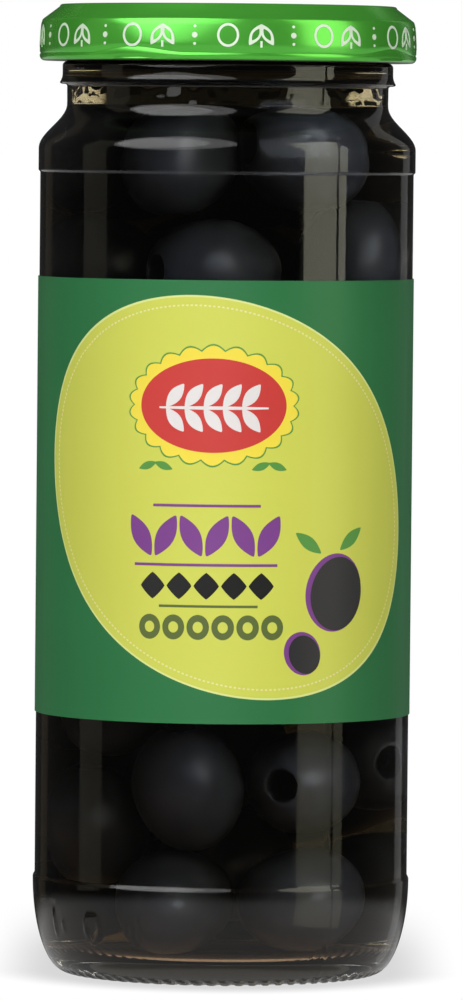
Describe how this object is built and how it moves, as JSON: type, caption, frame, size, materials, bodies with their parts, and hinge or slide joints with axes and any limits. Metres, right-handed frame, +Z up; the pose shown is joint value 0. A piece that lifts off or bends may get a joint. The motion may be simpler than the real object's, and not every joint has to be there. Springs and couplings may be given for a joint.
{
  "type": "jar of olives",
  "caption": "Cylindrical glass jar of pitted black olives in brine, with a green metal lid and a green label wrapped round its straight side.",
  "frame": {"origin": "centre of the circle that the jar stands on", "axes": "+Z up along the jar's axis, -Y towards the front of the label"},
  "size_m": [0.066, 0.066, 0.1694],
  "materials": {
    "clear_glass": "clear soda-lime glass, polished",
    "lid_lacquer": "green lacquer on tinplate, glossy, with a fine white ornament round the skirt",
    "label_print": "printed paper under a satin varnish: green ground with a yellow-green oval",
    "olive_skin": "jet black olive skin, wet, with a soft satin sheen"
  },
  "bodies": {
    "root": {"glass_jar": "clear_glass", "lid": "lid_lacquer", "label": "label_print", "olives": "olive_skin"}
  },
  "joints": []
}
